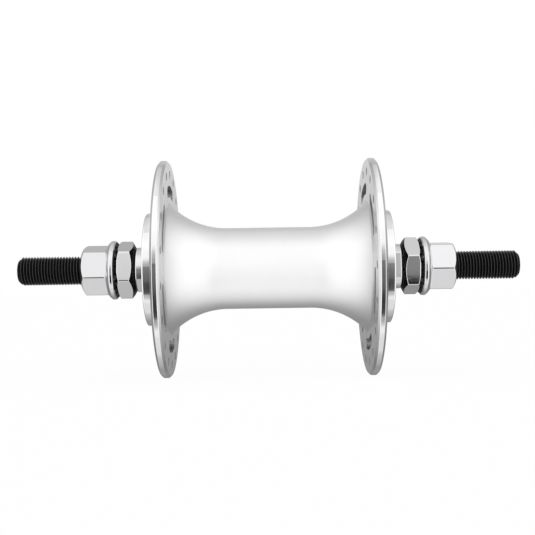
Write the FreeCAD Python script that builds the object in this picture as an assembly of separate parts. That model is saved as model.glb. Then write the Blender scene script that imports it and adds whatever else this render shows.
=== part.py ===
import FreeCAD, Part
import math
import os

# Front hub of a BMX wheel: a one-piece aluminium shell with 18 spoke holes in each flange, turning
# on two rows of caged steel balls between pressed cups and screwed cones, on a nutted solid axle.
# Millimetres. The hub turns about Y, the bicycle's left is +Y, up is +Z and its front is +X.
# The origin is the middle of the axle. "Along" is a distance from it along the axle, outwards.
# A clock angle is counted from straight up towards -X, and is the same on both sides.

Vector = FreeCAD.Vector
ORIGIN = Vector(0, 0, 0)
HUB_AXIS = Vector(0, 1, 0)
UP = Vector(0, 0, 1)
HALF_TURN = 180.0
TANGENT_OF_30 = math.tan(math.radians(30))

# Axle: 3/8 inch by 26 threads to the inch
axle_diameter = 9.525
axle_length = 167.8
threads_per_inch = 26
thread_length = 56.0
plain_diameter = 9.1
tip_diameter = 7.2
tip_length = 1.2
nut_clearance = 0.05
bore_entry = 0.5

# Locknuts: their outer faces are what the fork ends rest on
over_locknuts = 100.0
locknut_across = 17.0
locknut_thickness = 5.9
locknut_hub_face = 13.4
locknut_fork_face = 18.0
locknut_crown = 0.05
locknut_clock = {"left": 52.3, "right": 10.3}

# Serrated washers and axle nuts
washer_thickness = 3.8
washer_bore = 10.1
washer_diameter = 19.8
washer_tooth_face = 17.0
washer_nut_face = 16.4
washer_shoulder = 1.5
washer_rim = 0.7
washer_crown = 0.3
tooth_count = 22
notch_width = 1.2
notch_depth = 0.9
nut_across = 15.0
nut_length = 8.9
nut_end_face = 11.0
nut_washer_face = 17.0
nut_crown = 0.25
nut_clock = {"left": 47.3, "right": 36.2}

# Bearings: 3/16 inch balls between cone and cup
ball_diameter = 4.7625
balls_per_side = 9
ball_circle = 17.2
race_clearance = 0.05
ball_to_locknut = 9.9
cone_diameter = 15.0
cone_length = 13.5
cone_edge = 0.4
cone_across = 13.0
cone_flat_length = 4.5
cone_clock = {"left": 144.6, "right": 85.3}
cup_wall = 1.3
cup_rim_past_balls = 2.6
cup_hole = 15.2
cup_corner = 1.4
press_gap = 0.02

# Ball retainer: a stamped ring with fingers between the balls
cage_thickness = 0.7
cage_past_balls = 2.0
cage_finger_reach = 0.4
cage_finger_thickness = 0.8
cage_gap = 0.25
cage_pocket_gap = 0.08
cage_cone_gap = 0.5

# Dust cap: a drawn steel cap pressed into the shell, with a rolled lip round the cone
cap_diameter = 30.0
cap_sheet = 0.8
cap_recess = 0.4
cap_lip_depth = 1.7
cap_cone_gap = 0.3

# Hub shell
flange_diameter = 72.8
flange_thickness = 2.9
flange_centres = 68.7
flange_inner_edge = 1.4
flange_outer_edge = 0.9
boss_diameter = 37.8
boss_height = 4.75
boss_edge = 0.8
boss_root = 0.5
barrel_diameter = 27.2
flare_radius = 26.0
flare_root = 1.0
shell_bore = 19.6
bore_edge = 0.3
spoke_to_rim = 4.4
spoke_hole = 2.6
spoke_holes_per_flange = 18
spoke_countersink = 0.25
slot_count = 6
slot_to_spokes = 5.8
slot_to_flare = 2.5
slot_width = 3.6
slot_span = 38.0
flange_clock = {"left": 0.0, "right": -10.0}

# Places and sizes that follow from the dimensions above
thread_pitch = 25.4 / threads_per_inch
axle_radius = axle_diameter / 2
thread_bore_radius = axle_radius + nut_clearance
fork_face = over_locknuts / 2
cone_end = fork_face - locknut_thickness
washer_outer = fork_face + washer_thickness
nut_end = washer_outer + nut_length

ball_radius = ball_diameter / 2
ball_along = cone_end - ball_to_locknut
ball_centre = (ball_along, ball_circle / 2)
race_radius = ball_radius + race_clearance
race_outer_radius = ball_circle / 2 + race_radius
cone_radius = cone_diameter / 2
cone_inner_end = cone_end - cone_length
cup_back = ball_along - race_radius - cup_wall
cup_rim = ball_along + cup_rim_past_balls
cup_outer_radius = race_outer_radius + cup_wall

flange_inner = (flange_centres - flange_thickness) / 2
flange_outer = flange_inner + flange_thickness
flange_radius = flange_diameter / 2
spoke_circle = flange_diameter - 2 * spoke_to_rim
slot_circle = spoke_circle - 2 * slot_to_spokes
flare_diameter = slot_circle - slot_width - 2 * slot_to_flare
boss_end = flange_outer + boss_height
cap_outer = boss_end - cap_recess
cap_radius = cap_diameter / 2


def on_circle(centre, radius, degrees):
    """The point (along, radius) of a circle in the outline, counted from outwards to away."""
    angle = math.radians(degrees)
    return centre[0] + radius * math.cos(angle), centre[1] + radius * math.sin(angle)


def arc(centre, radius, start, end):
    """An outline's arc about a centre, between two angles: its start, then its middle and end."""
    middle = on_circle(centre, radius, (start + end) / 2)
    return [on_circle(centre, radius, start), middle + on_circle(centre, radius, end)]


def bulged(start, end, height):
    """An outline's arc between two points, bulging by a height to the right of its way."""
    across, up = end[0] - start[0], end[1] - start[1]
    chord = math.hypot(across, up)
    return ((start[0] + end[0]) / 2 + height * up / chord,
            (start[1] + end[1]) / 2 - height * across / chord) + end


def rounded(before, corner, after, size):
    """The corner of an outline between two neighbours, rounded with a radius of the given size."""
    corner_point = Vector(corner[0], corner[1], 0)
    back = (Vector(before[0], before[1], 0) - corner_point).normalize()
    ahead = (Vector(after[0], after[1], 0) - corner_point).normalize()
    half_angle = back.getAngle(ahead) / 2
    inward = (back + ahead).normalize()
    centre = corner_point + inward * (size / math.sin(half_angle))
    start = corner_point + back * (size / math.tan(half_angle))
    end = corner_point + ahead * (size / math.tan(half_angle))
    middle = centre - inward * size
    return [(start.x, start.y), (middle.x, middle.y, end.x, end.y)]


def turned(outline):
    """A solid turned about the hub's axis from a closed outline of (along, radius) points.
    An entry of four numbers is an arc that passes through its first pair to its second."""
    edges = []
    start = Vector(outline[0][-1], outline[0][-2], 0)
    for entry in outline[1:] + outline[:1]:
        end = Vector(entry[-1], entry[-2], 0)
        if len(entry) == 4:
            middle = Vector(entry[1], entry[0], 0)
            edges.append(Part.Arc(start, middle, end).toShape())
        else:
            edges.append(Part.LineSegment(start, end).toShape())
        start = end
    solid = Part.Face(Part.Wire(edges)).revolve(ORIGIN, HUB_AXIS, 360)
    if solid.Volume < 0:
        solid.reverse()
    return solid


def placed(shape, side, clock=0.0):
    """A piece made at the left end, put on its side and turned to its clock angle."""
    if side == "right":
        shape.rotate(ORIGIN, UP, HALF_TURN)
    shape.rotate(ORIGIN, HUB_AXIS, -clock)
    return shape


def spaced(shape, count, first=0.0):
    """Copies of a shape spaced evenly about the hub's axis."""
    copies = []
    for index in range(count):
        copy = shape.copy()
        copy.rotate(ORIGIN, HUB_AXIS, first + 360.0 * index / count)
        copies.append(copy)
    return copies


def hexagon(across, start, end):
    """A hexagonal bar along the hub's axis with one of its edges straight up."""
    corner = across / math.sqrt(3)
    points = []
    for index in range(7):
        angle = math.radians(60 * index)
        points.append(Vector(corner * math.sin(angle), start, corner * math.cos(angle)))
    return Part.Face(Part.makePolygon(points)).extrude(HUB_AXIS * (end - start))


def hex_nut(across, start, end, start_face, end_face, crown):
    """A hexagonal nut whose two ends are chamfered at 30 degrees down to round faces.
    The chamfer of its outer end is crowned by the given height."""
    reach = across / math.sqrt(3) + bore_entry
    start_slope = (reach - start_face / 2) * TANGENT_OF_30
    end_slope = (reach - end_face / 2) * TANGENT_OF_30
    blank = turned([
        (start, thread_bore_radius + bore_entry),
        (start + bore_entry, thread_bore_radius),
        (end - bore_entry, thread_bore_radius),
        (end, thread_bore_radius + bore_entry),
        (end, end_face / 2),
        bulged((end, end_face / 2), (end - end_slope, reach), crown),
        (start + start_slope, reach),
        (start, start_face / 2),
    ])
    return blank.common(hexagon(across, start, end))


def axle():
    """The solid axle. Its thread is a row of separate V grooves at the true pitch."""
    depth = 0.6134 * thread_pitch
    flank = depth * TANGENT_OF_30
    crest = thread_pitch / 8
    root = thread_pitch - crest - 2 * flank
    end = axle_length / 2
    half = [(end, 0.0), (end, tip_diameter / 2), (end - tip_length, axle_radius)]
    along = end - tip_length - crest
    while along - thread_pitch > end - thread_length:
        half += [
            (along, axle_radius),
            (along - flank, axle_radius - depth),
            (along - flank - root, axle_radius - depth),
            (along - thread_pitch + crest, axle_radius),
        ]
        along -= thread_pitch
    half += [(along, axle_radius), (along, plain_diameter / 2)]
    return turned(half + [(-point[0], point[1]) for point in reversed(half)])


def cone(side):
    """A bearing cone with its hollow race, plain bore and two spanner flats."""
    start = -math.degrees(math.asin((ball_centre[1] - cone_radius) / race_radius))
    body = turned([
        (cone_inner_end, thread_bore_radius),
        (cone_end, thread_bore_radius),
        (cone_end, cone_radius - cone_edge),
        (cone_end - cone_edge, cone_radius),
    ] + arc(ball_centre, race_radius, start, -90) + [
        (cone_inner_end, ball_centre[1] - race_radius),
    ])
    reach = cone_diameter
    for direction in (1, -1):
        block = Part.makeBox(2 * reach, cone_flat_length, reach)
        low = cone_across / 2 if direction > 0 else -cone_across / 2 - reach
        block.translate(Vector(-reach, cone_end - cone_flat_length, low))
        body = body.cut(block)
    return placed(body, side, cone_clock[side])


def bearing_cup(side):
    """A pressed steel cup whose rounded inner corner is the outer ball race."""
    lip = HALF_TURN + math.degrees(math.asin((ball_circle - cup_hole) / 2 / race_radius))
    rim_corner = (cup_rim, cup_outer_radius)
    back_corner = (cup_back, cup_outer_radius)
    hole_corner = (cup_back, cup_hole / 2)
    return placed(turned(
        [rim_corner]
        + rounded(rim_corner, back_corner, hole_corner, cup_corner)
        + [hole_corner]
        + arc(ball_centre, race_radius, lip, 90)
        + [(cup_rim, race_outer_radius)]
    ), side)


def balls(side):
    """The ring of balls between one cone and its cup."""
    ball = Part.makeSphere(ball_radius, Vector(0, ball_centre[0], ball_centre[1]))
    return placed(Part.makeCompound(spaced(ball, balls_per_side)), side)


def ball_retainer(side):
    """The stamped ring outside the balls, with a finger into each space between two of them."""
    outer = race_outer_radius - cage_gap
    inner = cone_radius + cage_cone_gap
    plate_inner = ball_along + cage_past_balls
    plate_outer = plate_inner + cage_thickness
    finger_end = ball_along - cage_finger_reach
    ring = turned([
        (plate_inner, inner),
        (plate_outer, inner),
        (plate_outer, outer),
        (finger_end, outer),
        (finger_end, outer - cage_finger_thickness),
        (plate_inner, outer - cage_finger_thickness),
    ])
    pocket = Part.makeSphere(ball_radius + cage_pocket_gap, Vector(0, ball_centre[0], ball_centre[1]))
    return placed(ring.cut(spaced(pocket, balls_per_side)), side)


def dust_cap(side):
    """The drawn cap over the bearing: a skirt in the shell, a flat ring and a lip at the cone."""
    lip_radius = cone_radius + cap_cone_gap
    under = cap_outer - cap_sheet
    skirt_corner = (cap_outer, cap_radius)
    return placed(turned(
        [(cup_rim, cap_radius - cap_sheet), (cup_rim, cap_radius)]
        + rounded((cup_rim, cap_radius), skirt_corner, (cap_outer, lip_radius), cap_sheet / 2)
        + rounded(skirt_corner, (cap_outer, lip_radius), (cup_rim, lip_radius), cap_sheet / 2)
        + [
            (cap_outer - cap_lip_depth, lip_radius),
            (cap_outer - cap_lip_depth, lip_radius + cap_sheet),
            (under, lip_radius + cap_sheet),
            (under, cap_radius - cap_sheet),
        ]
    ), side)


def locknut(side):
    """The hexagonal locknut that clamps the cone and carries the fork end."""
    nut = hex_nut(locknut_across, cone_end, fork_face, locknut_hub_face, locknut_fork_face,
                  locknut_crown)
    return placed(nut, side, locknut_clock[side])


def serrated_washer(side):
    """The domed washer under the axle nut, with V notches across the face that grips the fork."""
    inner = washer_bore / 2
    rim = washer_diameter / 2
    shoulder = fork_face + washer_shoulder
    rim_end = shoulder + washer_rim
    crown_start = (washer_outer, washer_nut_face / 2)
    blank = turned([
        (fork_face, inner),
        (washer_outer, inner),
        crown_start,
        bulged(crown_start, (rim_end, rim), washer_crown),
        (shoulder, rim),
        (fork_face, washer_tooth_face / 2),
    ])
    notch = Part.Face(Part.makePolygon([
        Vector(-notch_width / 2, fork_face, 0),
        Vector(notch_width / 2, fork_face, 0),
        Vector(0, fork_face + notch_depth, 0),
        Vector(-notch_width / 2, fork_face, 0),
    ])).extrude(UP * washer_diameter)
    return placed(blank.cut(spaced(notch, tooth_count)), side)


def axle_nut(side):
    """The outer nut that clamps the fork end."""
    nut = hex_nut(nut_across, washer_outer, nut_end, nut_washer_face, nut_end_face, nut_crown)
    return placed(nut, side, nut_clock[side])


def kidney_slot():
    """The cutter for one lightening slot, straight up, through a flange at the left end."""
    middle = slot_circle / 2
    half_width = slot_width / 2
    half_span = math.radians(slot_span) / 2 - math.asin(half_width / middle)

    def point(radius, angle):
        return Vector(radius * math.sin(angle), flange_inner - flange_thickness,
                      radius * math.cos(angle))

    def end_point(sign):
        along_arc = Vector(math.cos(half_span), 0, -sign * math.sin(half_span)) * sign
        return point(middle, sign * half_span) + along_arc * half_width

    inner, outer = middle - half_width, middle + half_width
    edges = [
        Part.Arc(point(outer, -half_span), point(outer, 0), point(outer, half_span)),
        Part.Arc(point(outer, half_span), end_point(1), point(inner, half_span)),
        Part.Arc(point(inner, half_span), point(inner, 0), point(inner, -half_span)),
        Part.Arc(point(inner, -half_span), end_point(-1), point(outer, -half_span)),
    ]
    wire = Part.Wire([edge.toShape() for edge in edges])
    return Part.Face(wire).extrude(HUB_AXIS * (3 * flange_thickness))


def spoke_hole_cutter():
    """The cutter for one spoke hole, straight up, countersunk on both faces of the flange."""
    radius = spoke_hole / 2
    wide = radius + spoke_countersink
    place = Vector(0, 0, spoke_circle / 2)
    drill = Part.makeCylinder(radius, 3 * flange_thickness,
                              place + HUB_AXIS * (flange_inner - flange_thickness), HUB_AXIS)
    outside = Part.makeCone(radius, wide, spoke_countersink,
                            place + HUB_AXIS * (flange_outer - spoke_countersink), HUB_AXIS)
    inside = Part.makeCone(wide, radius, spoke_countersink,
                           place + HUB_AXIS * flange_inner, HUB_AXIS)
    return drill.fuse([outside, inside])


def shell_half():
    """The turned half of the shell from its middle to its left end, without holes."""
    pocket = cup_outer_radius + press_gap
    recess = cap_radius + press_gap
    boss_radius = boss_diameter / 2
    barrel_radius = barrel_diameter / 2
    drop = flare_radius - (flare_diameter / 2 - barrel_radius)
    flare_start = flange_inner - math.sqrt(flare_radius**2 - drop**2)
    flare_centre = (flare_start, barrel_radius + flare_radius)
    root_along = flange_inner - flare_root
    reach = flare_radius - flare_root
    root_angle = -math.degrees(math.acos((root_along - flare_start) / reach))
    root_centre = on_circle(flare_centre, reach, root_angle)
    boss_corner = (boss_end, boss_radius)
    boss_foot = (flange_outer, boss_radius)
    outer_corner = (flange_outer, flange_radius)
    inner_corner = (flange_inner, flange_radius)
    return turned(
        [(0.0, shell_bore / 2), (cup_back, shell_bore / 2), (cup_back, pocket),
         (cup_rim, pocket), (cup_rim, recess), (boss_end - bore_edge, recess),
         (boss_end, recess + bore_edge)]
        + rounded((boss_end, recess), boss_corner, boss_foot, boss_edge)
        + rounded(boss_corner, boss_foot, outer_corner, boss_root)
        + rounded(boss_foot, outer_corner, inner_corner, flange_outer_edge)
        + rounded(outer_corner, inner_corner, (flange_inner, barrel_radius), flange_inner_edge)
        + arc(root_centre, flare_root, 0, root_angle)
        + arc(flare_centre, flare_radius, root_angle, -90)[1:]
        + [(0.0, barrel_radius)]
    )


def hub_shell():
    """The whole shell with its spoke holes and lightening slots."""
    shell = placed(shell_half(), "left").fuse(placed(shell_half(), "right")).removeSplitter()
    cutters = []
    for side in ("left", "right"):
        for cutter, count in ((spoke_hole_cutter(), spoke_holes_per_flange),
                              (kidney_slot(), slot_count)):
            ring = Part.makeCompound(spaced(cutter, count))
            cutters += placed(ring, side, flange_clock[side]).Solids
    return shell.cut(cutters)


pieces = {"hub_shell": hub_shell(), "axle": axle()}
for piece in (bearing_cup, balls, ball_retainer, cone, dust_cap, locknut, serrated_washer, axle_nut):
    for side in ("left", "right"):
        pieces[side + "_" + piece.__name__] = piece(side)

os.makedirs("parts", exist_ok=True)
for name, shape in pieces.items():
    shape.exportStep(os.path.join("parts", name + ".step"))
    box = shape.BoundBox
    print(name, "solids", len(shape.Solids), "valid", shape.isValid(), "volume", round(shape.Volume, 1),
          "from", [round(v, 2) for v in (box.XMin, box.YMin, box.ZMin)],
          "to", [round(v, 2) for v in (box.XMax, box.YMax, box.ZMax)])
print("spoke hole centres on a circle of", spoke_circle, "mm, flange inner faces", 2 * flange_inner,
      "mm apart, thread pitch", round(thread_pitch, 4), "mm")
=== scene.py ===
import math
import bmesh
import bpy
from mathutils import Matrix, Vector


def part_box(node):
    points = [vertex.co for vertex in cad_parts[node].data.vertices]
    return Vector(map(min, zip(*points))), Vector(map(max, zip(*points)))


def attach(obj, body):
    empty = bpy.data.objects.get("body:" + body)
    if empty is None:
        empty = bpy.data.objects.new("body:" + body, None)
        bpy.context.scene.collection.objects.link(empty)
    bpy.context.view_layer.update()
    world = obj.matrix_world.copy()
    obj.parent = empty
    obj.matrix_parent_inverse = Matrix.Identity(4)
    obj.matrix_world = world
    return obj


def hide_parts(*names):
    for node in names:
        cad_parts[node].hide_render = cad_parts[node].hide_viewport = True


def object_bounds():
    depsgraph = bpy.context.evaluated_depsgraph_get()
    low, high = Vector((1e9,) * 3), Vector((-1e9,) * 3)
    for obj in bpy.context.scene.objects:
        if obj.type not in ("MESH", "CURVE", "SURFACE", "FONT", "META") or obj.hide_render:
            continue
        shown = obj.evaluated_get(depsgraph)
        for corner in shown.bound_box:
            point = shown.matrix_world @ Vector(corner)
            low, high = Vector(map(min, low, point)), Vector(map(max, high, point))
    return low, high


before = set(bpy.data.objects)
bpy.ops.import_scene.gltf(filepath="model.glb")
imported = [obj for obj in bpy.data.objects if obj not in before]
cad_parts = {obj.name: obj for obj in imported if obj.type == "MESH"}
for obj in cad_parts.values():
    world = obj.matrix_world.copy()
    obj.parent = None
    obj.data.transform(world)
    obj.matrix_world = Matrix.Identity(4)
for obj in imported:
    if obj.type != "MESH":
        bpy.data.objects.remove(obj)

# The looks of a BMX front hub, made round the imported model. Sizes are in millimetres unless a name
# or comment says otherwise, and point() turns them into metres. The hub turns about Y and its left
# is +Y. "Along" is a distance from the middle along the axle, outwards. A clock angle is in degrees
# from straight up towards -X, where the camera is, and is the same on both sides.
cad_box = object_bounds()

# The axle: a rod of 3/8 inch steel with a thread of 26 turns to the inch rolled on both ends and a
# plain middle. It is turned black in a hot oxide bath and oiled. The cones, locknuts and nuts screw
# onto it, and everything else hangs on them.
MM = 0.001
INCH = 25.4
SIDES = {"left": 1, "right": -1}
# Nearer than this, two points are one, and an edge that bends by more than the crease stays sharp.
SAME_POINT_METRES = 1e-7
CREASE = math.radians(28)

turns_per_inch = 26
depth_by_pitch = 0.6134
thread_pitch = INCH / turns_per_inch
thread_depth = depth_by_pitch * thread_pitch
thread_length = 56.0
plain_radius = 4.55
tip_radius = 3.6
tip_length = 1.2
tip_ease = 0.25
axle_columns = 96
axle_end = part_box("axle")[1].y / MM
axle_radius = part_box("axle")[1].z / MM


def linear(code):
    """The linear colour of an sRGB hex code."""
    parts = [int(code[place:place + 2], 16) / 255 for place in (1, 3, 5)]
    return tuple(v / 12.92 if v <= 0.04045 else ((v + 0.055) / 1.055) ** 2.4 for v in parts) + (1.0,)


def add_node(tree, kind, inputs, **settings):
    """A new node with its settings. Each input is a plain value or the output of another node."""
    node = tree.nodes.new(kind)
    for setting, value in settings.items():
        setattr(node, setting, value)
    for name, value in inputs.items():
        if isinstance(value, bpy.types.NodeSocket):
            tree.links.new(value, node.inputs[name])
        else:
            node.inputs[name].default_value = value
    return node


def empty_tree(owner):
    """The node tree of a material or world, with nothing in it."""
    owner.use_nodes = True
    owner.node_tree.nodes.clear()
    return owner.node_tree


def point(side, along, radius, clock):
    """The place of a point on a side of the hub, in metres."""
    angle = math.radians(clock)
    return Vector((-radius * math.sin(angle), SIDES[side] * along, radius * math.cos(angle))) * MM


def closed_mesh(name, places, faces):
    """A mesh of these places and faces, with its seams closed and its faces turned outwards."""
    mesh = bpy.data.meshes.new(name)
    mesh.from_pydata(places, [], faces)
    shape = bmesh.new()
    shape.from_mesh(mesh)
    bmesh.ops.remove_doubles(shape, verts=shape.verts, dist=SAME_POINT_METRES)
    bmesh.ops.recalc_face_normals(shape, faces=shape.faces)
    shape.to_mesh(mesh)
    shape.free()
    return mesh


def skin(name, columns, materials, ring=True):
    """A piece whose surface runs over columns of points round the axle, the last one on the first.
    A column is one section of the piece, closed in itself for a ring, else from pole to pole."""
    count = len(columns[0])
    faces = []
    for index in range(len(columns) - 1):
        here, there = index * count, (index + 1) * count
        for step in range(count if ring else count - 1):
            ahead = (step + 1) % count
            faces.append((here + step, here + ahead, there + ahead, there + step))
    mesh = closed_mesh(name, [place for column in columns for place in column], faces)
    for material in materials:
        mesh.materials.append(material)
    piece = bpy.data.objects.new(name, mesh)
    bpy.context.scene.collection.objects.link(piece)
    return smoothed(piece)


def smoothed(piece):
    """The piece shaded smooth up to its creases, with its large faces kept flat."""
    piece.data.shade_smooth()
    piece.data.set_sharp_from_angle(angle=CREASE)
    even = piece.modifiers.new("even_shading", "WEIGHTED_NORMAL")
    even.keep_sharp = True
    return piece


def threaded_column(clock):
    """The axle's outline along one clock angle, from its right end to its left end. A right-hand
    thread's crests move by one pitch along +Y as the clock goes back by one turn. A turn of the
    thread has a flat crest, a flank, a flat root and a flank, at these parts of the pitch."""
    shift = -thread_pitch * clock / 360
    crest, root = axle_radius, axle_radius - thread_depth
    phases = ((-1 / 16, crest), (1 / 16, crest), (5 / 12, root), (7 / 12, root))
    start = axle_end - thread_length
    turns = int(thread_length / thread_pitch) + 3

    def tip_limit(along):
        return tip_radius + (axle_radius - tip_radius) * (axle_end - along) / tip_length

    def run_out(along):
        return plain_radius + (along - start)

    def threaded_half(sign):
        half = []
        for turn in range(turns):
            for phase, radius in phases[::sign]:
                along = start + (turn - 1 + sign * phase) * thread_pitch + sign * shift
                along = min(max(along, start), axle_end)
                half.append((along, min(radius, tip_limit(along), run_out(along))))
        return half

    line = [(-axle_end, 0.0), (-axle_end, tip_radius - tip_ease)]
    line += [(-along, radius) for along, radius in reversed(threaded_half(-1))]
    line += threaded_half(1) + [(axle_end, tip_radius - tip_ease), (axle_end, 0.0)]
    return [point("left", along, radius, clock) for along, radius in line]


def radius_from_axle(tree, place):
    """A node output: a surface point's distance from the axle's middle line, in metres."""
    flat = add_node(tree, "ShaderNodeVectorMath", {0: place, 1: (1.0, 0.0, 1.0)}, operation="MULTIPLY")
    return add_node(tree, "ShaderNodeVectorMath", {0: flat.outputs["Vector"]},
                    operation="LENGTH").outputs["Value"]


# Black oxide on rolled steel is a thin dull skin: near black, with the oil's low sheen. The sheen is
# turned down in the thread's roots as painted shade, and up on its crests as painted highlight.
black_oxide_steel = bpy.data.materials.new("black_oxide_steel")
tree = empty_tree(black_oxide_steel)
place = add_node(tree, "ShaderNodeTexCoord", {}).outputs["Object"]
blotch = add_node(tree, "ShaderNodeTexNoise", {
    "Vector": place, "Scale": 1 / (1.6 * MM), "Detail": 3.0})
tint = add_node(tree, "ShaderNodeMix", {
    "Factor": blotch.outputs["Fac"], "A": linear("#060607"), "B": linear("#101012")},
    data_type="RGBA").outputs["Result"]
scuff = add_node(tree, "ShaderNodeTexNoise", {
    "Vector": place, "Scale": 1 / (0.35 * MM), "Detail": 2.0})
shine = add_node(tree, "ShaderNodeMapRange", {
    "Value": scuff.outputs["Fac"], "To Min": 0.2, "To Max": 0.36}).outputs["Result"]
# Painted shade in the roots and painted highlight on the crests, set by distance from the axle.
painted_thread_shading = add_node(tree, "ShaderNodeMapRange", {
    "Value": radius_from_axle(tree, place), "From Min": (axle_radius - thread_depth) * MM,
    "From Max": axle_radius * MM, "To Min": 0.06, "To Max": 0.95}).outputs["Result"]
grain = add_node(tree, "ShaderNodeBump", {
    "Height": scuff.outputs["Fac"], "Strength": 1.0, "Distance": 0.004 * MM}).outputs["Normal"]
shader = add_node(tree, "ShaderNodeBsdfPrincipled", {
    "Base Color": tint, "Roughness": shine, "Normal": grain, "IOR": 1.5,
    "Specular IOR Level": painted_thread_shading})
add_node(tree, "ShaderNodeOutputMaterial", {"Surface": shader.outputs["BSDF"]})

axle = skin("threaded_axle", [threaded_column(360 * index / axle_columns)
                              for index in range(axle_columns + 1)],
            [black_oxide_steel], ring=False)
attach(axle, "axle_group")
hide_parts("axle")

# The shell: one piece of forged aluminium, turned all over, drilled for 18 spokes in each flange
# and pierced with 6 kidney slots. The barrel is blasted with fine beads, the rims and bosses are
# turned bright, and all of it is anodised clear.
flange_thickness = 2.9
flange_inner = 32.9
flange_outer = flange_inner + flange_thickness
flange_inner_edge = 0.75
flange_outer_edge = 0.7
flange_edge_ease = 0.1
flange_radius = 36.4
boss_radius = 18.9
boss_end = 40.55
boss_edge = 0.45
boss_root = 0.5
barrel_radius = 13.6
flare_radius = 26.0
flare_root = 1.0
flare_reach = 21.9
shell_bore = 9.8
cup_back = 30.47
cup_rim = 36.8
cup_pocket = 12.35
cap_recess = 15.02
bore_edge = 0.3
holding_gap = 0.04
easing_steps = 5
root_steps = 6
flare_steps = 24
shell_columns = 288

spoke_circle = 32.0
spoke_hole = 1.3
spoke_holes = 18
countersink = 0.15
slot_circle = 26.2
slot_half_width = 1.8
slot_half_angle = 19.0
slots = 6
slot_edge = 0.2
slot_arc_steps = 12
slot_end_steps = 8
cutter_reach = 0.12
cutter_flare = 0.1
hole_steps = 24
flange_clock = {"left": 0.0, "right": -10.0}


def eased(corners, steps=3):
    """A section's points (along, radius). A corner given as (along, radius, size) is rounded, and
    always becomes the same number of points, so that the columns of a piece match. A point at the
    holding gap before and after it keeps the straight faces beside it flat in their shading."""
    points = []
    for index, corner in enumerate(corners):
        here = Vector(corner[:2])
        if len(corner) == 2:
            points.append(here)
            continue
        before = Vector(corners[index - 1][:2]) - here
        after = Vector(corners[(index + 1) % len(corners)][:2]) - here
        size_before, size_after = min(corner[2], before.length / 2), min(corner[2], after.length / 2)
        start = here + before.normalized() * size_before
        end = here + after.normalized() * size_after
        gap_before = min(holding_gap, (before.length - size_before) / 4)
        gap_after = min(holding_gap, (after.length - size_after) / 4)
        points.append(start + before.normalized() * gap_before)
        for step in range(steps + 1):
            way = step / steps
            points.append(start * (1 - way) ** 2 + here * 2 * way * (1 - way) + end * way ** 2)
        points.append(end + after.normalized() * gap_after)
    return points


def arc(centre, radius, start, end, steps):
    """Points of a circular arc in a section, between two angles counted from outwards to away."""
    turns = [math.radians(start + (end - start) * step / steps) for step in range(steps + 1)]
    return [(centre[0] + radius * math.cos(t), centre[1] + radius * math.sin(t)) for t in turns]


def shell_section():
    """The shell's closed section: its left half from the bore round to the barrel, and back."""
    drop = flare_radius - (flare_reach - barrel_radius)
    flare_start = flange_inner - math.sqrt(flare_radius ** 2 - drop ** 2)
    flare_centre = (flare_start, barrel_radius + flare_radius)
    root_along = flange_inner - flare_root
    root_angle = -math.degrees(math.acos((root_along - flare_start) / (flare_radius - flare_root)))
    root_centre = arc(flare_centre, flare_radius - flare_root, root_angle, root_angle, 1)[0]
    half = eased([
        (0.0, shell_bore), (cup_back, shell_bore), (cup_back, cup_pocket), (cup_rim, cup_pocket),
        (cup_rim, cap_recess), (boss_end, cap_recess, bore_edge), (boss_end, boss_radius, boss_edge),
        (flange_outer, boss_radius, boss_root),
        (flange_outer, flange_radius - flange_outer_edge, flange_edge_ease),
        (flange_outer - flange_outer_edge, flange_radius, flange_edge_ease),
        (flange_inner + flange_inner_edge, flange_radius, flange_edge_ease),
        (flange_inner, flange_radius - flange_inner_edge, flange_edge_ease),
        (flange_inner, root_centre[1]),
    ], steps=easing_steps)
    half += [Vector(place) for place in arc(root_centre, flare_root, 0, root_angle, root_steps)[1:]]
    half += [Vector(place)
             for place in arc(flare_centre, flare_radius, root_angle, -90, flare_steps)[1:]]
    half.append(Vector((0.0, barrel_radius)))
    return half + [Vector((-place.x, place.y)) for place in reversed(half)]


def cutter(side, outline, edge):
    """The places and faces of a cutter through a side's flange. The outline is (across, up,
    out_across, out_up) about the hub's centre, its last pair pointing outwards. The cutter flares
    by the edge size in a quarter round at both faces, as a tool leaves it, and reaches past them."""
    flares = [(edge + cutter_flare, -cutter_reach), (edge, 0.0), (edge * 0.5, edge * 0.13),
              (edge * 0.13, edge * 0.5), (0.0, edge)]
    rings = [(flange_outer - depth, out) for out, depth in reversed(flares)]
    rings = [(flange_inner + flange_outer - along, out) for along, out in reversed(rings)] + rings
    places, faces = [], []
    count = len(outline)
    for along, out in rings:
        for across, up, out_across, out_up in outline:
            radius = math.hypot(across + out * out_across, up + out * out_up)
            clock = math.degrees(math.atan2(-(across + out * out_across), up + out * out_up))
            places.append(point(side, along, radius, clock))
    for ring in range(len(rings) - 1):
        for step in range(count):
            ahead = (step + 1) % count
            faces.append((ring * count + step, ring * count + ahead,
                          (ring + 1) * count + ahead, (ring + 1) * count + step))
    faces.append(tuple(range(count)))
    faces.append(tuple(range(len(rings) * count - 1, (len(rings) - 1) * count - 1, -1)))
    return places, faces


def turned_outline(outline, clock):
    """An outline for cutter(), turned about the hub's axis to a clock angle."""
    angle = math.radians(clock)
    sine, cosine = math.sin(angle), math.cos(angle)
    return [(x * cosine - z * sine, x * sine + z * cosine, u * cosine - w * sine, u * sine + w * cosine)
            for x, z, u, w in outline]


def hole_outline():
    """A round hole, straight up on the spoke circle."""
    turns = [2 * math.pi * step / hole_steps for step in range(hole_steps)]
    return [(spoke_hole * math.cos(t), spoke_circle + spoke_hole * math.sin(t), math.cos(t), math.sin(t))
            for t in turns]


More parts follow.
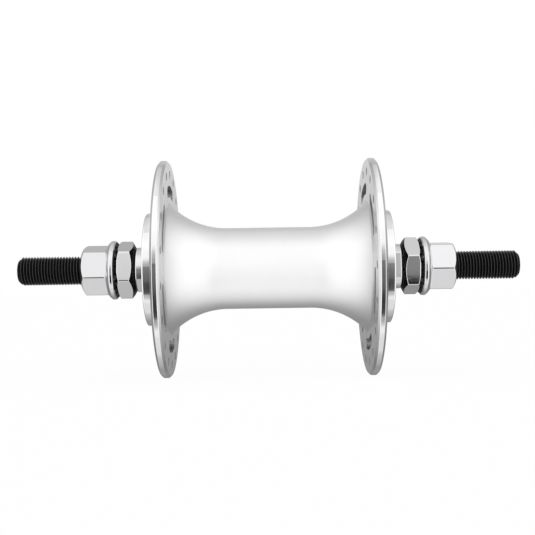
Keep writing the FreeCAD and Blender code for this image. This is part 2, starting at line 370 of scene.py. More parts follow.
def slot_outline():
    """A kidney slot with round ends, straight up on the slot circle."""
    end_angle = math.radians(slot_half_angle) - math.asin(slot_half_width / slot_circle)
    outline = []
    for sign in (1, -1):
        for step in range(slot_arc_steps + 1):
            angle = sign * (-end_angle + 2 * end_angle * step / slot_arc_steps)
            across, up = math.sin(angle), math.cos(angle)
            reach = slot_circle + sign * slot_half_width
            outline.append((reach * across, reach * up, sign * across, sign * up))
        for step in range(1, slot_end_steps):
            angle = sign * (math.pi / 2 - end_angle) - math.pi * step / slot_end_steps
            across, up = math.cos(angle), math.sin(angle)
            outline.append((sign * slot_circle * math.sin(end_angle) + slot_half_width * across,
                            slot_circle * math.cos(end_angle) + slot_half_width * up, across, up))
    return outline


# Bead-blasted and anodised aluminium: a frosty, even white-grey metal. Its 0.15 mm dimples are too
# fine for the picture and are drawn 0.3 mm wide, so that a close view shows a soft grain.
blasted_aluminium = bpy.data.materials.new("blasted_anodised_aluminium")
tree = empty_tree(blasted_aluminium)
place = add_node(tree, "ShaderNodeTexCoord", {}).outputs["Object"]
dimples = add_node(tree, "ShaderNodeTexNoise", {
    "Vector": place, "Scale": 1 / (0.3 * MM), "Detail": 2.0}).outputs["Fac"]
cloud = add_node(tree, "ShaderNodeTexNoise", {
    "Vector": place, "Scale": 1 / (9.0 * MM), "Detail": 2.0}).outputs["Fac"]
tint = add_node(tree, "ShaderNodeMix", {
    "Factor": cloud, "A": linear("#f1f1f2"), "B": linear("#f6f6f6")},
    data_type="RGBA").outputs["Result"]
shine = add_node(tree, "ShaderNodeMapRange", {
    "Value": dimples, "To Min": 0.33, "To Max": 0.44}).outputs["Result"]
grain = add_node(tree, "ShaderNodeBump", {
    "Height": dimples, "Strength": 1.0, "Distance": 0.003 * MM}).outputs["Normal"]
shader = add_node(tree, "ShaderNodeBsdfPrincipled", {
    "Base Color": tint, "Metallic": 1.0, "Roughness": shine, "Normal": grain})
add_node(tree, "ShaderNodeOutputMaterial", {"Surface": shader.outputs["BSDF"]})


def turned_aluminium(name, lightest, darkest, dull, groove_depth):
    """Aluminium as the lathe leaves it: rings at the 0.12 mm feed of the tool, drawn twice as wide to
    show as a faint streak across the light. Even grooves would look ruled, so noise varies them."""
    material = bpy.data.materials.new(name)
    tree = empty_tree(material)
    place = add_node(tree, "ShaderNodeTexCoord", {}).outputs["Object"]
    apart = add_node(tree, "ShaderNodeSeparateXYZ", {"Vector": place}).outputs["Y"]
    outwards = radius_from_axle(tree, place)
    feed = add_node(tree, "ShaderNodeMath", {0: apart, 1: outwards}, operation="ADD").outputs["Value"]
    grooves = add_node(tree, "ShaderNodeTexNoise", {
        "W": feed, "Scale": 1 / (0.24 * MM), "Detail": 2.0}, noise_dimensions="1D").outputs["Fac"]
    handling = add_node(tree, "ShaderNodeTexNoise", {
        "Vector": place, "Scale": 1 / (4.0 * MM), "Detail": 4.0}).outputs["Fac"]
    tint = add_node(tree, "ShaderNodeMix", {
        "Factor": handling, "A": linear(darkest), "B": linear(lightest)},
        data_type="RGBA").outputs["Result"]
    shine = add_node(tree, "ShaderNodeMapRange", {
        "Value": handling, "From Min": 0.3, "From Max": 0.7, "To Min": dull[0], "To Max": dull[1]},
        ).outputs["Result"]
    bump = add_node(tree, "ShaderNodeBump", {
        "Height": grooves, "Strength": 1.0, "Distance": groove_depth * MM}).outputs["Normal"]
    shader = add_node(tree, "ShaderNodeBsdfPrincipled", {
        "Base Color": tint, "Metallic": 1.0, "Roughness": shine, "Normal": bump})
    add_node(tree, "ShaderNodeOutputMaterial", {"Surface": shader.outputs["BSDF"]})
    return material


# The inner faces of the flanges carry the coarser rings, the rims, bosses and outer faces the fine
# ones of a finishing cut with a diamond, which leaves them nearly a mirror.
ringed_aluminium = turned_aluminium(
    "turned_anodised_aluminium", "#f2f2f3", "#e6e6e7", dull=(0.12, 0.22), groove_depth=0.001)
bright_aluminium = turned_aluminium(
    "diamond_turned_aluminium", "#f6f6f6", "#eeeeef", dull=(0.025, 0.05), groove_depth=0.0003)

# A drill and a mill leave the holes and slots duller, and little light comes into them: their walls
# are also painted darker than the rest of the shell, as painted shade.
shaded_drilled_aluminium = bpy.data.materials.new("drilled_aluminium_with_painted_shade")
tree = empty_tree(shaded_drilled_aluminium)
place = add_node(tree, "ShaderNodeTexCoord", {}).outputs["Object"]
chatter = add_node(tree, "ShaderNodeTexNoise", {
    "Vector": place, "Scale": 1 / (0.6 * MM), "Detail": 3.0}).outputs["Fac"]
tint = add_node(tree, "ShaderNodeMix", {
    "Factor": chatter, "A": linear("#97979a"), "B": linear("#b2b2b4")},
    data_type="RGBA").outputs["Result"]
shine = add_node(tree, "ShaderNodeMapRange", {
    "Value": chatter, "To Min": 0.35, "To Max": 0.5}).outputs["Result"]
shader = add_node(tree, "ShaderNodeBsdfPrincipled", {
    "Base Color": tint, "Metallic": 1.0, "Roughness": shine})
add_node(tree, "ShaderNodeOutputMaterial", {"Surface": shader.outputs["BSDF"]})

shell_finishes = [blasted_aluminium, ringed_aluminium, bright_aluminium, shaded_drilled_aluminium]
section = shell_section()
shell = skin("turned_shell",
             [[point("left", along, radius, 360 * index / shell_columns) for along, radius in section]
              for index in range(shell_columns + 1)],
             shell_finishes)

places, faces = [], []
for side in SIDES:
    for outline, edge, count in ((hole_outline(), countersink, spoke_holes),
                                 (slot_outline(), slot_edge, slots)):
        for index in range(count):
            clock = flange_clock[side] + 360 * index / count
            cutter_places, cutter_faces = cutter(side, turned_outline(outline, clock), edge)
            faces += [tuple(len(places) + corner for corner in face) for face in cutter_faces]
            places += cutter_places
cutters = bpy.data.objects.new("flange_cutters", closed_mesh("flange_cutters", places, faces))
bpy.context.scene.collection.objects.link(cutters)
shell.modifiers.clear()
cut = shell.modifiers.new("holes", "BOOLEAN")
cut.object = cutters
cut.solver = "EXACT"
bpy.context.view_layer.update()
pierced_shell = shell.evaluated_get(bpy.context.evaluated_depsgraph_get())
pierced_mesh = bpy.data.meshes.new_from_object(pierced_shell)
shell.modifiers.clear()
shell.data = pierced_mesh
bpy.data.objects.remove(cutters)

# Each face gets its finish from where its middle lies, with a little slack at the flanges' faces.
inner_slack = 0.0001
outer_slack = 0.05
wall_slack = 0.03
bore_slack = 1.0
flange_middle = (flange_inner + flange_outer) / 2
wall_half_length = flange_thickness / 2 - wall_slack
for face in shell.data.polygons:
    along = abs(face.center.y) / MM
    radius = math.hypot(face.center.x, face.center.z) / MM
    within_rim = radius < flange_radius - flange_inner_edge
    if along < flange_inner - inner_slack and radius > shell_bore + bore_slack:
        finish = blasted_aluminium
    elif abs(along - flange_middle) < wall_half_length and within_rim:
        finish = shaded_drilled_aluminium
    elif along < flange_outer - outer_slack and within_rim:
        finish = ringed_aluminium
    else:
        finish = bright_aluminium
    face.material_index = shell_finishes.index(finish)
smoothed(shell)
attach(shell, "shell_group")
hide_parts("hub_shell")

# The bearing cups: pressed from sheet steel, hardened, and ground where the balls run. Each is a
# press fit in the shell's pocket, and its rounded inner corner is the outer race.
ball_radius = 2.38125
race_clearance = 0.05
race_radius = ball_radius + race_clearance
ball_along = 34.2
ball_circle = 8.6
cup_wall = 1.3
cup_outer = ball_circle + race_radius + cup_wall
cup_hole = 7.6
cup_corner = 1.4
cup_edge = 0.15
cup_race_steps = 18
ring_columns = 128

# Ground steel is a fairly bright neutral grey, with rings from the wheel too fine to see one by one.
# They are drawn 0.2 mm apart.
ground_steel = bpy.data.materials.new("ground_bearing_steel")
tree = empty_tree(ground_steel)
place = add_node(tree, "ShaderNodeTexCoord", {}).outputs["Object"]
outwards = radius_from_axle(tree, place)
rings = add_node(tree, "ShaderNodeTexNoise", {
    "W": outwards, "Scale": 1 / (0.2 * MM), "Detail": 2.0}, noise_dimensions="1D").outputs["Fac"]
shine = add_node(tree, "ShaderNodeMapRange", {
    "Value": rings, "To Min": 0.18, "To Max": 0.32}).outputs["Result"]
tint = add_node(tree, "ShaderNodeMix", {
    "Factor": rings, "A": linear("#b9babb"), "B": linear("#c6c6c7")},
    data_type="RGBA").outputs["Result"]
bump = add_node(tree, "ShaderNodeBump", {
    "Height": rings, "Strength": 1.0, "Distance": 0.001 * MM}).outputs["Normal"]
shader = add_node(tree, "ShaderNodeBsdfPrincipled", {
    "Base Color": tint, "Metallic": 1.0, "Roughness": shine, "Normal": bump})
add_node(tree, "ShaderNodeOutputMaterial", {"Surface": shader.outputs["BSDF"]})


def turned(name, side, section, material):
    """A round piece, from its closed section of (along, radius) points."""
    columns = [[point(side, along, radius, 360 * index / ring_columns) for along, radius in section]
               for index in range(ring_columns + 1)]
    return skin(name, columns, [material])


race_start = 270 - math.degrees(math.acos((ball_circle - cup_hole) / race_radius))
cup_section = eased([
    (cup_rim, cup_outer, cup_edge), (cup_back, cup_outer, cup_corner), (cup_back, cup_hole, cup_edge),
] + arc((ball_along, ball_circle), race_radius, race_start, 90, cup_race_steps) + [
    (cup_rim, ball_circle + race_radius, cup_edge),
])
for side in SIDES:
    cup = turned(side + "_pressed_cup", side, cup_section, ground_steel)
    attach(cup, "shell_group")
    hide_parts(side + "_bearing_cup")

# The balls: nine a side, of 3/16 inch chrome steel, lapped until they are true to a micron. They
# are loose in the retainer's pockets and roll between the cup and the cone.
balls_per_side = 9
ball_subdivisions = 4

# Lapped steel is a clean mirror, a little darker than plated steel, under a thin film of grease.
lapped_steel = bpy.data.materials.new("lapped_ball_steel")
tree = empty_tree(lapped_steel)
place = add_node(tree, "ShaderNodeTexCoord", {}).outputs["Object"]
film = add_node(tree, "ShaderNodeTexNoise", {
    "Vector": place, "Scale": 1 / (1.2 * MM), "Detail": 2.0}).outputs["Fac"]
shine = add_node(tree, "ShaderNodeMapRange", {
    "Value": film, "To Min": 0.05, "To Max": 0.16}).outputs["Result"]
tint = add_node(tree, "ShaderNodeMix", {
    "Factor": film, "A": linear("#bcbdbe"), "B": linear("#c9c9ca")},
    data_type="RGBA").outputs["Result"]
shader = add_node(tree, "ShaderNodeBsdfPrincipled", {
    "Base Color": tint, "Metallic": 1.0, "Roughness": shine})
add_node(tree, "ShaderNodeOutputMaterial", {"Surface": shader.outputs["BSDF"]})

for side in SIDES:
    shape = bmesh.new()
    for index in range(balls_per_side):
        centre = point(side, ball_along, ball_circle, 360 * index / balls_per_side)
        bmesh.ops.create_icosphere(shape, subdivisions=ball_subdivisions,
                                   radius=ball_radius * MM, matrix=Matrix.Translation(centre))
    mesh = bpy.data.meshes.new(side + "_lapped_balls")
    shape.to_mesh(mesh)
    shape.free()
    mesh.materials.append(lapped_steel)
    mesh.shade_smooth()
    ring = bpy.data.objects.new(side + "_lapped_balls", mesh)
    bpy.context.scene.collection.objects.link(ring)
    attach(ring, side + "_ball_train")
    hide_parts(side + "_balls")

# The ball retainers: rings stamped from thin steel strip, with a bent finger between each two balls
# that keeps them apart. The CAD solids have the right shape and stay; they get their finish here.
# Stamped and tumbled steel is a dull grey with soft scratches in all directions.
stamped_steel = bpy.data.materials.new("stamped_cage_steel")
tree = empty_tree(stamped_steel)
place = add_node(tree, "ShaderNodeTexCoord", {}).outputs["Object"]
scratches = add_node(tree, "ShaderNodeTexNoise", {
    "Vector": place, "Scale": 1 / (0.5 * MM), "Detail": 5.0, "Distortion": 1.5}).outputs["Fac"]
tint = add_node(tree, "ShaderNodeMix", {
    "Factor": scratches, "A": linear("#8d8a86"), "B": linear("#aaa8a5")},
    data_type="RGBA").outputs["Result"]
shine = add_node(tree, "ShaderNodeMapRange", {
    "Value": scratches, "To Min": 0.3, "To Max": 0.5}).outputs["Result"]
bump = add_node(tree, "ShaderNodeBump", {
    "Height": scratches, "Strength": 1.0, "Distance": 0.003 * MM}).outputs["Normal"]
shader = add_node(tree, "ShaderNodeBsdfPrincipled", {
    "Base Color": tint, "Metallic": 1.0, "Roughness": shine, "Normal": bump})
add_node(tree, "ShaderNodeOutputMaterial", {"Surface": shader.outputs["BSDF"]})
for side in SIDES:
    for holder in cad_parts[side + "_ball_retainer"].material_slots:
        holder.material = stamped_steel

# The cones: turned from hardened steel with a hollow race for the balls and two flats for a thin
# spanner, then plated. They screw along the axle to set the play of the bearing.
cone_radius = 7.5
cone_edge = 0.35
cone_bore_edge = 0.2
cone_rim_edge = 0.1
cone_race_steps = 12
cone_flat_reach = 6.5
cone_flat_length = 4.5
thread_bore = 4.8125
cone_clock = {"left": 144.6, "right": 85.3}

# Bright nickel-chrome plate on turned and pressed steel: a nearly clean mirror. The steel under it
# was only tumbled, so that it waves by two microns every millimetre or two.
bright_chrome = bpy.data.materials.new("bright_chrome_plate")
tree = empty_tree(bright_chrome)
place = add_node(tree, "ShaderNodeTexCoord", {}).outputs["Object"]
waves = add_node(tree, "ShaderNodeTexNoise", {
    "Vector": place, "Scale": 1 / (1.7 * MM), "Detail": 1.0}).outputs["Fac"]
haze = add_node(tree, "ShaderNodeTexNoise", {
    "Vector": place, "Scale": 1 / (3.0 * MM), "Detail": 4.0}).outputs["Fac"]
tint = add_node(tree, "ShaderNodeMix", {
    "Factor": haze, "A": linear("#e3e3e5"), "B": linear("#e8e8e9")},
    data_type="RGBA").outputs["Result"]
shine = add_node(tree, "ShaderNodeMapRange", {
    "Value": haze, "From Min": 0.3, "From Max": 0.7, "To Min": 0.025, "To Max": 0.055}).outputs["Result"]
bump = add_node(tree, "ShaderNodeBump", {
    "Height": waves, "Strength": 1.0, "Distance": 0.002 * MM}).outputs["Normal"]
shader = add_node(tree, "ShaderNodeBsdfPrincipled", {
    "Base Color": tint, "Metallic": 1.0, "Roughness": shine, "Normal": bump})
add_node(tree, "ShaderNodeOutputMaterial", {"Surface": shader.outputs["BSDF"]})


def lengths(node, side):
    """Where a side's CAD node starts and ends along the axle, and how far it reaches out of it."""
    low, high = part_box(side + "_" + node)
    start, end = sorted((abs(low.y) / MM, abs(high.y) / MM))
    return start, end, max(high.x - low.x, high.z - low.z) / 2 / MM


def cone_columns(side):
    """The cone's columns, with one on each edge of its two flats."""
    inner_end, outer_end, _ = lengths("cone", side)
    flat_start = outer_end - cone_flat_length
    edge_turn = math.degrees(math.acos(cone_flat_reach / cone_radius))
    turns = {360 * index / ring_columns for index in range(ring_columns + 1)}
    turns |= {edge_turn, 180 - edge_turn, 180 + edge_turn, 360 - edge_turn}
    race_end = -math.degrees(math.asin((ball_circle - cone_radius) / race_radius))
    race = arc((ball_along, ball_circle), race_radius, race_end, -90, cone_race_steps)
    columns = []
    for turn in sorted(turns):
        reach = min(cone_radius, cone_flat_reach / max(abs(math.cos(math.radians(turn))), 1e-6))
        column = eased([
            (inner_end, thread_bore), (outer_end, thread_bore, cone_bore_edge),
            (outer_end, reach, cone_edge), (flat_start, reach), (flat_start, cone_radius),
        ] + race + [(inner_end, ball_circle - race_radius, cone_rim_edge)])
        columns.append([point(side, along, radius, cone_clock[side] + turn)
                        for along, radius in column])
    return columns


for side in SIDES:
    cone = skin(side + "_screwed_cone", cone_columns(side), [bright_chrome])
    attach(cone, "axle_group")
    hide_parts(side + "_cone")

# The dust caps: cups drawn from 0.8 mm steel sheet, with a skirt pressed into the shell and a lip
# rolled in round the cone, which it clears by a hair. They turn with the shell.
cap_outer = 40.15
cap_radius = 15.0
cap_sheet = 0.8
cap_lip = 7.8
cap_lip_depth = 1.7
cap_cut_edge = 0.1
cap_outer_bend = 0.6
cap_inner_bend = 0.2

# Drawn and black-phosphated sheet: very dark and silky, with faint rings from the die. The bright
# ends of the hub mirror it as a black ring.
black_sheet = bpy.data.materials.new("blackened_drawn_steel")
tree = empty_tree(black_sheet)
place = add_node(tree, "ShaderNodeTexCoord", {}).outputs["Object"]
outwards = radius_from_axle(tree, place)
drawing = add_node(tree, "ShaderNodeTexNoise", {
    "W": outwards, "Scale": 1 / (0.4 * MM), "Detail": 2.0}, noise_dimensions="1D").outputs["Fac"]
tint = add_node(tree, "ShaderNodeMix", {
    "Factor": drawing, "A": linear("#161515"), "B": linear("#211f1f")},
    data_type="RGBA").outputs["Result"]
shine = add_node(tree, "ShaderNodeMapRange", {
    "Value": drawing, "To Min": 0.28, "To Max": 0.42}).outputs["Result"]
bump = add_node(tree, "ShaderNodeBump", {
    "Height": drawing, "Strength": 1.0, "Distance": 0.002 * MM}).outputs["Normal"]
shader = add_node(tree, "ShaderNodeBsdfPrincipled", {
    "Base Color": tint, "Roughness": shine, "Normal": bump, "IOR": 1.6})
add_node(tree, "ShaderNodeOutputMaterial", {"Surface": shader.outputs["BSDF"]})

lip_end = cap_outer - cap_lip_depth
cap_inner = cap_outer - cap_sheet
cap_section = eased([
    (cup_rim, cap_radius - cap_sheet, cap_cut_edge), (cup_rim, cap_radius, cap_cut_edge),
    (cap_outer, cap_radius, cap_outer_bend), (cap_outer, cap_lip, cap_outer_bend),
    (lip_end, cap_lip, cap_cut_edge), (lip_end, cap_lip + cap_sheet, cap_cut_edge),
    (cap_inner, cap_lip + cap_sheet, cap_inner_bend),
    (cap_inner, cap_radius - cap_sheet, cap_inner_bend),
])
for side in SIDES:
    cap = turned(side + "_drawn_cap", side, cap_section, black_sheet)
    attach(cap, "shell_group")
    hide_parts(side + "_dust_cap")

# The locknuts: 17 mm hexagons of plated steel, screwed hard against the cones. The fork ends rest
# on their outer faces, and their corners are chamfered at 30 degrees at both ends.
nut_corner = 0.7
corner_steps = 3
flat_steps = 14
nut_edge = 0.14
nut_bore_edge = 0.4
crown_steps = 6
crown_margin = 0.5
locknut_across = 17.0
locknut_hub_face = 6.7
locknut_fork_face = 8.7
locknut_crown = 0.05
locknut_clock = {"left": 52.3, "right": 10.3}
# The slopes of the locknut's hub-side chamfer that get the painted shade of the hollow.
shaded_slopes = (0.6, 0.97)
TANGENT_OF_30 = math.tan(math.radians(30))
COSINE_OF_30 = math.cos(math.radians(30))


def hexagon_outline(across):
    """Pairs of turn, in degrees from a corner's direction, and reach, round a whole hexagon whose
    corners are slightly rounded."""
    half = across / 2
    centre = (half - nut_corner) / COSINE_OF_30
    pairs = []
    for corner in range(6):
        for step in range(-corner_steps, corner_steps + 1):
            angle = math.radians(30 * step / corner_steps)
            ahead = centre + nut_corner * math.cos(angle)
            aside = nut_corner * math.sin(angle)
            pairs.append((60 * corner + math.degrees(math.atan2(aside, ahead)),
                          math.hypot(ahead, aside)))
        first = half * TANGENT_OF_30 - nut_corner * TANGENT_OF_30
        for step in range(1, flat_steps):
            aside = -first + 2 * first * step / flat_steps
            pairs.append((60 * corner + 30 + math.degrees(math.atan2(aside, half)),
                          math.hypot(half, aside)))
    return pairs + [(pairs[0][0] + 360, pairs[0][1])]


def nut_columns(side, node, across, start_face, end_face, crown, clock):
    """The columns of a hexagonal nut. Its start is the end towards the hub."""
    start, end, _ = lengths(node, side)
    full_reach = across / math.sqrt(3) + crown_margin
    columns = []
    for turn, reach in hexagon_outline(across):
        start_radius = min(start_face, reach - nut_edge)
        start_along = start + max((reach - start_face) * TANGENT_OF_30, nut_edge)
        end_radius = min(end_face, reach - nut_edge)
        dome = []
        for step in range(crown_steps + 1):
            radius = end_radius + (reach - end_radius) * step / crown_steps
            past_face = max(radius - end_face, 0.0)
            way = past_face / (full_reach - end_face)
            dome.append((end - past_face * TANGENT_OF_30 + 4 * crown * way * (1 - way) / COSINE_OF_30,
                         radius))
        rim_along = min(dome[-1][0], end - nut_edge)
        column = eased([
            (start, thread_bore, nut_bore_edge), (start, start_radius, nut_edge),
            (start_along, reach, nut_edge), (rim_along, reach, nut_edge),
        ] + dome[-2:0:-1] + [
            (end, end_radius, nut_edge), (end, thread_bore, nut_bore_edge),
        ])
        columns.append([point(side, along, radius, clock + turn) for along, radius in column])
    return columns


# Painted shade: the hollows, such as the gap behind a locknut and between the washers' teeth, lie in
# shade, and a dark, dull, slightly brown steel is painted there to stand for it.
painted_shade_plate = bpy.data.materials.new("steel_with_painted_hollow_shade")
tree = empty_tree(painted_shade_plate)
place = add_node(tree, "ShaderNodeTexCoord", {}).outputs["Object"]
shade_mottle = add_node(tree, "ShaderNodeTexNoise", {
    "Vector": place, "Scale": 1 / (0.7 * MM), "Detail": 3.0}).outputs["Fac"]
tint = add_node(tree, "ShaderNodeMix", {
    "Factor": shade_mottle, "A": linear("#292524"), "B": linear("#5a5554")},
    data_type="RGBA").outputs["Result"]
shine = add_node(tree, "ShaderNodeMapRange", {
    "Value": shade_mottle, "To Min": 0.45, "To Max": 0.3}).outputs["Result"]
shader = add_node(tree, "ShaderNodeBsdfPrincipled", {
    "Base Color": tint, "Metallic": 1.0, "Roughness": shine})
add_node(tree, "ShaderNodeOutputMaterial", {"Surface": shader.outputs["BSDF"]})

for side in SIDES:
    columns = nut_columns(side, "locknut", locknut_across, locknut_hub_face, locknut_fork_face,
                          locknut_crown, locknut_clock[side])
    locknut = skin(side + "_plated_locknut", columns, [bright_chrome, painted_shade_plate])
    # The chamfer towards the hub lies in the hollow and gets the painted shade. Its faces are told by
    # how far they turn to it.
    for face in locknut.data.polygons:
        if shaded_slopes[0] < -SIDES[side] * face.normal.y < shaded_slopes[1]:
            face.material_index = 1
    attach(locknut, "axle_group")
    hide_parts(side + "_locknut")

# The serrated washers: pressed and plated steel rings, domed towards the nut, with 22 V teeth that
# bite into the fork end. They slide on the thread and are pushed by the nut.
washer_bore = 5.05
washer_tooth_face = 8.5
washer_nut_face = 8.2
washer_shoulder = 1.3
washer_rim = 1.05
washer_rim_edge = 0.2
washer_face_edge = 0.1
washer_bore_edge = 0.2
washer_dome = ((1.05, 0.33), (0.55, 0.78), (0.18, 1.25))
washer_face_step = 0.8
washer_face_points = 5
tooth_count = 22
tooth_turn = 360 / tooth_count
notch_half_width = 0.6
notch_depth = 0.9


def washer_columns(side):
    """The washer's columns. They bend with the teeth, because a notch is as wide at the rim as at
    the bore. Five stand in each notch, placed by a share of its half width, and three on each
    tooth, placed by a share of the tooth. The dome is given inwards from the nut's face and rim."""
    start, end, rim = lengths("serrated_washer", side)
    shoulder = start + washer_shoulder
    slope = (rim - washer_tooth_face) / washer_shoulder
    toothed = [(start, washer_bore + washer_face_step * step)
               for step in range(washer_face_points)]
    toothed += [(start + depth, washer_tooth_face + depth * slope)
                for depth in (0.0, notch_depth / 2, notch_depth)]
    rest = eased([
        (start + notch_depth, washer_tooth_face + notch_depth * slope),
        (shoulder, rim, washer_rim_edge), (shoulder + washer_rim, rim, washer_rim_edge),
    ] + [(end - inwards, rim - drop) for inwards, drop in washer_dome] + [
        (end, washer_nut_face, washer_face_edge), (end, washer_bore, washer_bore_edge),
        (start, washer_bore),
    ])[1:-1]

    def turn(tooth, notch_share, tooth_share, radius):
        notch_edge = math.degrees(math.asin(notch_half_width / radius))
        in_notch = math.degrees(math.asin(notch_share * notch_half_width / radius))
        return tooth * tooth_turn + in_notch + (tooth_turn - 2 * notch_edge) * tooth_share

    columns = []
    for tooth in range(tooth_count):
        for notch_share, tooth_share in ((-1, 0), (-0.5, 0), (0, 0), (0.5, 0), (1, 0),
                                         (1, 0.25), (1, 0.5), (1, 0.75)):
            notch_floor = start + notch_depth * (1 - abs(notch_share))
            section = [(max(along, notch_floor), radius) for along, radius in toothed] + rest
            columns.append([point(side, along, radius, turn(tooth, notch_share, tooth_share, radius))
                            for along, radius in section])
    return columns + [columns[0]]


for side in SIDES:
    washer = skin(side + "_toothed_washer", washer_columns(side), [bright_chrome, painted_shade_plate])
    teeth_end = lengths("serrated_washer", side)[0] + notch_depth
    # The teeth and the face between them get the same painted shade as the locknut's hollow.
    for face in washer.data.polygons:
        if abs(face.center.y) / MM < teeth_end:
            face.material_index = 1
    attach(washer, side + "_washer_body")
    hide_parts(side + "_serrated_washer")

# The axle nuts: 15 mm hexagons of plated steel with a domed outer end. They clamp the fork ends
# between washer and locknut.
nut_across = 15.0
nut_washer_face = 8.5
nut_end_face = 5.5
nut_crown = 0.25
nut_clock = {"left": 47.3, "right": 36.2}

for side in SIDES:
    columns = nut_columns(side, "axle_nut", nut_across, nut_washer_face, nut_end_face,
                          nut_crown, nut_clock[side])
    nut = skin(side + "_plated_nut", columns, [bright_chrome])
    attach(nut, side + "_nut_body")
    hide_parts(side + "_axle_nut")

# The studio, in metres: the hub stands on its flanges on a wide pale sheet, in a bright room, under
# one soft lamp that hangs in front and above. The metal doesn't see the sheet itself, but the
# room's greys in its place.
floor_size = 6.0
floor_gap = 0.00002
floor_level = cad_box[0].z - floor_gap
sheet_glow = 0.96

# White paper, lit through from behind: nearly white to the camera, and it keeps the hub's shadow.
# Its fibres are too fine to see, and are drawn as flecks of 2 mm.
floor_sheet = bpy.data.materials.new("pale_paper_sheet")
tree = empty_tree(floor_sheet)
path = add_node(tree, "ShaderNodeLightPath", {})
fibres = add_node(tree, "ShaderNodeTexNoise", {
    "Vector": add_node(tree, "ShaderNodeTexCoord", {}).outputs["Object"],
    "Scale": 1 / (2.0 * MM), "Detail": 2.0}).outputs["Fac"]
tint = add_node(tree, "ShaderNodeMix", {
    "Factor": fibres, "A": linear("#f4f4f4"), "B": linear("#fafafa")},
    data_type="RGBA").outputs["Result"]
paper = add_node(tree, "ShaderNodeBsdfDiffuse", {"Color": tint}).outputs["BSDF"]
white = add_node(tree, "ShaderNodeEmission", {"Color": (1.0, 1.0, 1.0, 1.0), "Strength": 1.0})
seen = add_node(tree, "ShaderNodeMath", {0: path.outputs["Is Camera Ray"], 1: sheet_glow},
                operation="MULTIPLY").outputs["Value"]
mixed = add_node(tree, "ShaderNodeMixShader", {
    0: seen, 1: paper, 2: white.outputs["Emission"]}).outputs["Shader"]
add_node(tree, "ShaderNodeOutputMaterial", {"Surface": mixed})

mesh = bpy.data.meshes.new("floor")
half = floor_size / 2
mesh.from_pydata([(-half, -half, floor_level), (half, -half, floor_level),
                  (half, half, floor_level), (-half, half, floor_level)], [], [(0, 1, 2, 3)])
mesh.materials.append(floor_sheet)
floor = bpy.data.objects.new("floor", mesh)
bpy.context.scene.collection.objects.link(floor)
floor.visible_glossy = False

# The room round the hub, by the direction that a reflection looks in: white to the camera, and a
# room of greys to the metal. Height is measured up from the front, all the way round, and aside is
# how far a direction points to either end of the hub, from 0 to 1.
world = bpy.data.worlds.new("studio_room")
bpy.context.scene.world = world
tree = empty_tree(world)
path = add_node(tree, "ShaderNodeLightPath", {})
look = add_node(tree, "ShaderNodeTexCoord", {}).outputs["Generated"]
parts = add_node(tree, "ShaderNodeSeparateXYZ", {"Vector": look})
front = add_node(tree, "ShaderNodeMath", {0: parts.outputs["X"], 1: -1.0}, operation="MULTIPLY")
height = add_node(tree, "ShaderNodeMath", {0: parts.outputs["Z"], 1: front.outputs["Value"]},
                  operation="ARCTAN2").outputs["Value"]
aside = add_node(tree, "ShaderNodeMath", {0: parts.outputs["Y"]}, operation="ABSOLUTE").outputs["Value"]


def levels(tree, value, low, high, steps):
    """A node output: a grey that runs through (value, level) steps."""
    share = add_node(tree, "ShaderNodeMapRange", {
        "Value": value, "From Min": low, "From Max": high}).outputs["Result"]
    ramp = add_node(tree, "ShaderNodeValToRGB", {"Fac": share})
    elements = ramp.color_ramp.elements
    while len(elements) < len(steps):
        elements.new(0.5)
    for element, (place, level) in zip(elements, steps):
        element.position = (place - low) / (high - low)
        element.color = (level, level, level, 1.0)
    return ramp.outputs["Color"]


def by_height(*steps, low=-180.0, high=180.0):
    """A node output: the grey of the room at a height, from steps of (degrees, level). A ramp is
    drawn in 256 steps, so a sharp edge needs a narrow range from low to high."""
    return levels(tree, height, math.radians(low), math.radians(high),
                  [(math.radians(degrees), level) for degrees, level in steps])


# The greys square to the hub, and those towards its ends, come from the sheet below, the wall
# behind and the ceiling above.
middle = by_height((-180, 0.42), (-174, 0.31), (-160, 0.26), (-141, 0.34), (-131, 0.33),
                   (-120, 0.45), (-105, 0.58), (-97, 0.79), (-75, 0.8), (-70, 0.88), (-60, 1.02),
                   (-46, 1.22), (0, 1.15), (15, 0.97), (25, 0.88), (36, 0.89), (48, 0.97), (56, 0.94),
                   (74, 0.87), (92, 0.82), (104, 0.76), (130, 0.64), (136, 0.5), (146, 0.55),
                   (160, 0.58), (172, 0.74), (177, 0.6), (180, 0.48))
sides = by_height((-180, 0.32), (-165, 0.28), (-140, 0.22), (-115, 0.43), (-90, 0.9), (-60, 1.14),
                  (-20, 1.23), (60, 1.23), (90, 1.08), (105, 0.9), (130, 0.53), (150, 0.4),
                  (165, 0.48), (180, 0.38))
# A white card behind the lens fills the blasted barrel with light.
card = by_height((-150, 1.0), (-130, 0.8), (-95, 1.1), (-70, 1.3), (-46, 1.5), (0, 1.5), (12, 1.4),
                 (26, 1.1), (36, 1.0))
# Two dark boards beside the lens, and a black shelf beyond each, draw the dark lines in the turned
# and plated pieces.
boards = by_height((-66, 1.0), (-61, 0.68), (-57, 0.5), (-54.5, 0.52), (-51.5, 0.22), (-50, 0.12),
                   (-46, 0.065), (-36, 0.05), (-28, 0.065), (-23, 0.11), (-5, 0.155), (5, 0.21),
                   (10, 0.33), (15, 0.54), (19, 0.78), (24, 1.0))
shelf = by_height((-54, 1.0), (-51, 0.12), (-20.6, 0.12), (-20.4, 1.0), low=-54, high=-20.4)
# The flanges' rims see a little darker boards and a lighter ceiling than the bosses do.
rim_lines = by_height((-80, 1.0), (-71, 1.15), (-60, 0.8), (-48, 0.5), (-40, 0.55), (-23, 0.77),
                      (0, 0.8), (7, 0.66), (13, 0.62), (24, 0.95), (38, 1.06), (72, 1.15),
                      (97, 1.3), (130, 1.25), (150, 1.0))
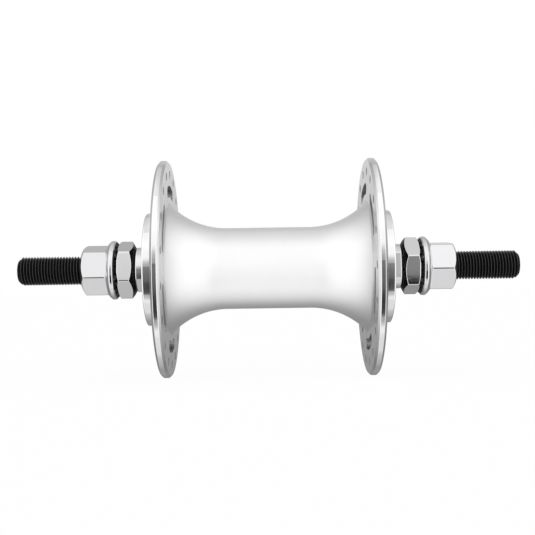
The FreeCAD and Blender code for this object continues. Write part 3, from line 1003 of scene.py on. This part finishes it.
# How far aside each of them reaches. The room's ends are a little darker, so that end views don't
# glare.
carded = levels(tree, aside, 0.0, 0.1, [(0.07, 1.0), (0.085, 0.0)])
far_aside = levels(tree, aside, 0.0, 1.0, [(0.2, 0.0), (0.3, 1.0)])
shelved = levels(tree, aside, 0.0, 1.0, [(0.138, 0.0), (0.141, 1.0), (0.2, 1.0), (0.22, 0.0)])
towards_ends = levels(tree, aside, 0.0, 1.0, [(0.9, 1.0), (0.97, 0.75)])
boarded = levels(tree, aside, 0.0, 1.0, [(0.085, 0.0), (0.098, 1.0), (0.134, 1.0), (0.137, 0.86),
                                         (0.19, 0.86), (0.21, 0.0)])
rimmed = levels(tree, aside, 0.11, 0.13, [(0.115, 0.0), (0.117, 1.0), (0.1225, 1.0), (0.1245, 0.0)])
greys = add_node(tree, "ShaderNodeMix", {
    "Factor": far_aside, "A": middle, "B": sides}, data_type="RGBA").outputs["Result"]
for share, layer in ((carded, card), (boarded, boards), (shelved, shelf), (rimmed, rim_lines),
                     (1.0, towards_ends)):
    greys = add_node(tree, "ShaderNodeMix", {"Factor": share, "A": greys, "B": layer},
                     data_type="RGBA", blend_type="MULTIPLY").outputs["Result"]
straight = add_node(tree, "ShaderNodeMath", {
    0: path.outputs["Is Camera Ray"], 1: path.outputs["Is Transmission Ray"]}, operation="MAXIMUM")
seen = add_node(tree, "ShaderNodeMix", {
    "Factor": straight.outputs["Value"], "A": greys, "B": (1.0, 1.0, 1.0, 1.0)},
    data_type="RGBA")
background = add_node(tree, "ShaderNodeBackground", {
    "Color": seen.outputs["Result"], "Strength": 1.0})
add_node(tree, "ShaderNodeOutputWorld", {"Surface": background.outputs["Background"]})

# The lamp is a wide soft box. It lays the hub's faint shadow on the sheet.
lamp_distance = 0.8
lamp_width = 1.2
lamp_height = 0.5
lamp_elevation = math.radians(42)
lamp_watts = 0.31
lamp = bpy.data.lights.new("soft_lamp", "AREA")
lamp.shape = "RECTANGLE"
lamp.size, lamp.size_y = lamp_width, lamp_height
lamp.energy = lamp_watts
lamp_object = bpy.data.objects.new("soft_lamp", lamp)
bpy.context.scene.collection.objects.link(lamp_object)
lamp_object.location = (-lamp_distance * math.cos(lamp_elevation), 0.0,
                        lamp_distance * math.sin(lamp_elevation))
lamp_object.rotation_euler = (-lamp_object.location).to_track_quat("-Z", "X").to_euler()

# The camera, in metres and radians: level with the axle but for a degree, square to it, as the
# photograph was taken. The hub's right end is a little higher in the picture, which is the
# camera's roll.
camera_distance = 0.318
camera_below = math.radians(0.8)
camera_roll = 0.0146
camera_aside = -0.00038
camera_raise = 0.000155
focal_pixels = 943.0
picture_pixels = 535.0
sensor_width_mm = 36.0
nearest_seen = 0.01

ahead = Vector((math.cos(camera_below), 0.0, math.sin(camera_below)))
upright = (Vector((0, 0, 1)) - ahead * ahead.z).normalized()
level_right = ahead.cross(upright)
right = level_right * math.cos(camera_roll) - upright * math.sin(camera_roll)
up = upright * math.cos(camera_roll) + level_right * math.sin(camera_roll)
lens = bpy.data.cameras.new("camera")
lens.sensor_width = sensor_width_mm
lens.lens = focal_pixels / picture_pixels * sensor_width_mm
lens.clip_start = nearest_seen
camera = bpy.data.objects.new("camera", lens)
bpy.context.scene.collection.objects.link(camera)
pose = Matrix((right, up, -ahead)).transposed().to_4x4()
pose.translation = -ahead * camera_distance + right * camera_aside + up * camera_raise
camera.matrix_world = pose
bpy.context.scene.camera = camera
bpy.context.scene.view_settings.view_transform = "Standard"
